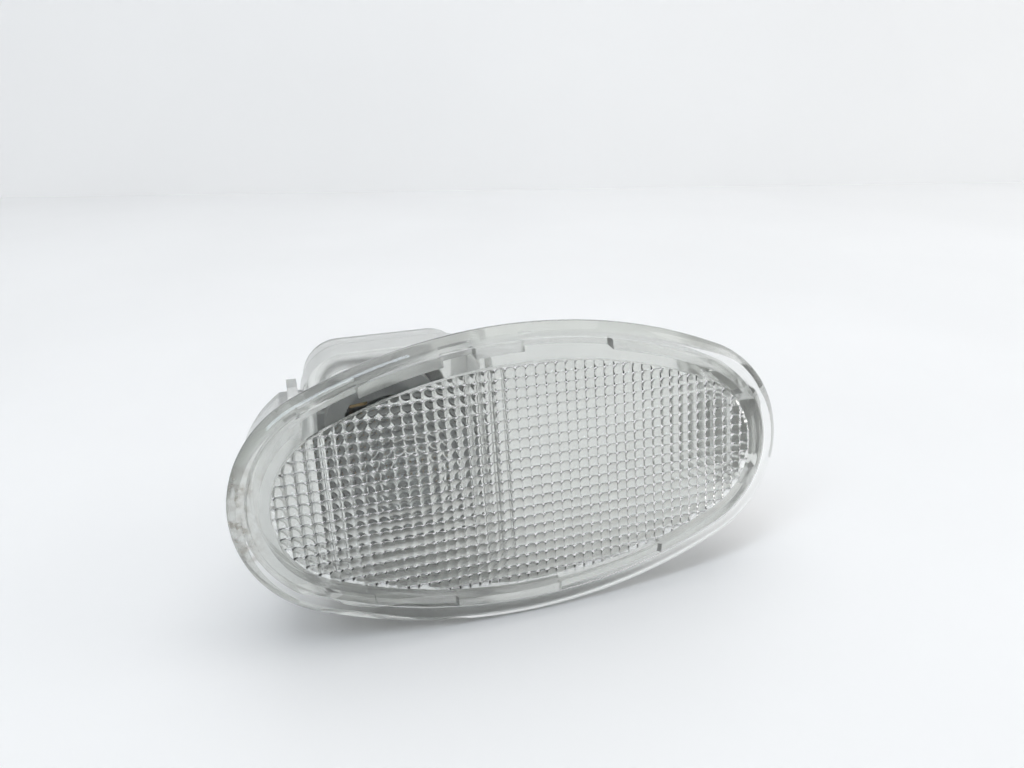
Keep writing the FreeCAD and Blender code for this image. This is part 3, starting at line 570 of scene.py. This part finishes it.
wall = rectangle("wall", WALL_LOW, WALL_HIGH, flat=False)
wall.data.transform(Matrix.Rotation(slope, 4, "X") @ Matrix.Rotation(WALL_TURN, 4, "Z"))
wall.data.transform(Matrix.Translation(WALL_FOOT))
wall.data.materials.append(wall_finish())
print("stage:", floor.name, wall.name)

# %% [markdown]
# ## Dark card
# Clear pillows show their shape by what they mirror and bend. A dark card near the camera gives them
# something dark to mirror, as a photographer's black card does; the camera itself doesn't see it.

# %% Dark card
CARD_AT = Vector((-20, -104, 34)) * MM
CARD_HALF = (74 * MM, 37 * MM)
CARD_SWING, CARD_LEAN = math.radians(-16), math.radians(-14)
card = rectangle("card", (-CARD_HALF[0], -CARD_HALF[1]), CARD_HALF, flat=False)
card.data.transform(Matrix.Rotation(CARD_SWING, 4, "Z") @ Matrix.Rotation(CARD_LEAN, 4, "X"))
card.data.transform(Matrix.Translation(CARD_AT))
card_black = plain_finish("card_black", (0.01, 0.01, 0.01), (0.02, 0.02, 0.022), 30, (0.5, 0.6))
card.data.materials.append(card_black)
card.visible_camera = False
card.visible_shadow = False
card.visible_diffuse = False
print("card:", card.name)

# %% [markdown]
# ## World
# A pale room: the world is bright above and on the right, greyer low down and on the left, and darkest on
# the camera's side. A picture of a room could do this too, but three smooth ramps are enough here.

# %% World
ROOM_GREY, ROOM_WHITE = (0.42, 0.425, 0.43, 1), (1.0, 1.0, 1.0, 1)
ROOM_STRENGTH = 0.7
RIGHT_EDGES, ABOVE_EDGES, BEHIND_EDGES = (-1.0, 0.5), (-0.1, 0.7), (-0.95, 0.05)


def pale_room():
    world = bpy.data.worlds.new("pale_room")
    world.use_nodes = True
    tree = world.node_tree
    place = Wire(tree, tree.nodes.new("ShaderNodeTexCoord").outputs["Generated"])
    axes = place.node("ShaderNodeSeparateXYZ", Vector=place)
    right = axes.sibling("X").ramp(*RIGHT_EDGES)
    above = axes.sibling("Z").ramp(*ABOVE_EDGES)
    behind = axes.sibling("Y").ramp(*BEHIND_EDGES)
    light = (0.5 * right + 0.5 * above) * behind
    sky = tree.nodes["Background"]
    place.feed(sky.inputs["Color"], light.mix(ROOM_GREY, ROOM_WHITE))
    sky.inputs["Strength"].default_value = ROOM_STRENGTH
    return world


bpy.context.scene.world = pale_room()
print("world:", bpy.context.scene.world.name)

# %% [markdown]
# ## Lamps
# A broad ceiling lamp and a window on the right give the soft shadow. A long bluish strip at the upper left
# lies along the rim, to put a cool line on its crest. Area lamps are used because only a wide light gives
# soft shadows and broad reflections.

# %% Lamps
SIDEWAYS = (1, 0, 0)
MIDDLE = (0, 0, 0)
UNDER_CEILING = (0.02, 0.02, 0)
RIM_SPOT = (-0.02, 0, 0.016)
ALONG_RIM = (0.85, -0.08, 0.48)
NEUTRAL, WARM, BLUISH = (1.0, 1.0, 1.0), (1.0, 0.99, 0.97), (0.8, 0.9, 1.0)


def area_lamp(name, at, aim, along, size, watts, colour):
    """A rectangular lamp at a place, facing aim, with its first side turned towards along."""
    data = bpy.data.lights.new(name, "AREA")
    data.shape = "RECTANGLE"
    data.size, data.size_y = size
    data.energy = watts
    data.color = colour
    lamp = bpy.data.objects.new(name, data)
    back = (Vector(at) - Vector(aim)).normalized()
    first = (Vector(along) - Vector(along).dot(back) * back).normalized()
    turn = Matrix((first, back.cross(first), back)).transposed().to_4x4()
    lamp.matrix_world = Matrix.Translation(at) @ turn
    bpy.context.collection.objects.link(lamp)


area_lamp("ceiling", (0.1, -0.05, 0.9), UNDER_CEILING, SIDEWAYS, (0.9, 0.9), 3.4, NEUTRAL)
area_lamp("window", (0.75, -0.25, 0.35), MIDDLE, SIDEWAYS, (0.5, 0.5), 1.3, WARM)
area_lamp("strip", (-0.45, -0.46, 0.77), RIM_SPOT, ALONG_RIM, (0.8, 0.16), 2.6, BLUISH)
print("lamps:", len(bpy.data.lights))

# %% [markdown]
# ## Camera
# The photograph's own view: place and direction were found from the oval's outline in the picture, with
# the lamp 75 mm long, so the same lens length gives the same perspective. Light passes many clear skins
# on its way through the lamp, so it is given enough bounces to get through.

# %% Camera
CAMERA_AT = Vector((-28.07, -93.41, 35.92)) * MM + Vector((0, RIM_Y, 0))
RIGHT = Vector((0.9549, -0.2902, -0.0625)).normalized()
AHEAD = Vector((0.268, 0.9335, -0.2383)).normalized()
UP = RIGHT.cross(AHEAD).normalized()
SIDE = AHEAD.cross(UP)
FOCAL_PIXELS = 783.62
PICTURE_WIDTH = 1024
SENSOR_WIDTH = 36
NEAR_CLIP = 5 * MM
MOST_BOUNCES, CLEAR_BOUNCES = 16, 14
camera_data = bpy.data.cameras.new("camera")
camera_data.sensor_width = SENSOR_WIDTH
camera_data.lens = FOCAL_PIXELS / PICTURE_WIDTH * SENSOR_WIDTH
camera_data.clip_start = NEAR_CLIP
camera = bpy.data.objects.new("camera", camera_data)
camera.matrix_world = Matrix.Translation(CAMERA_AT) @ Matrix((SIDE, UP, -AHEAD)).transposed().to_4x4()
bpy.context.collection.objects.link(camera)
scene = bpy.context.scene
scene.camera = camera
scene.view_settings.view_transform = "Standard"
scene.cycles.max_bounces = MOST_BOUNCES
scene.cycles.transmission_bounces = CLEAR_BOUNCES
print("camera lens, mm:", round(camera_data.lens, 2))

# %% [markdown]
# ## Finish
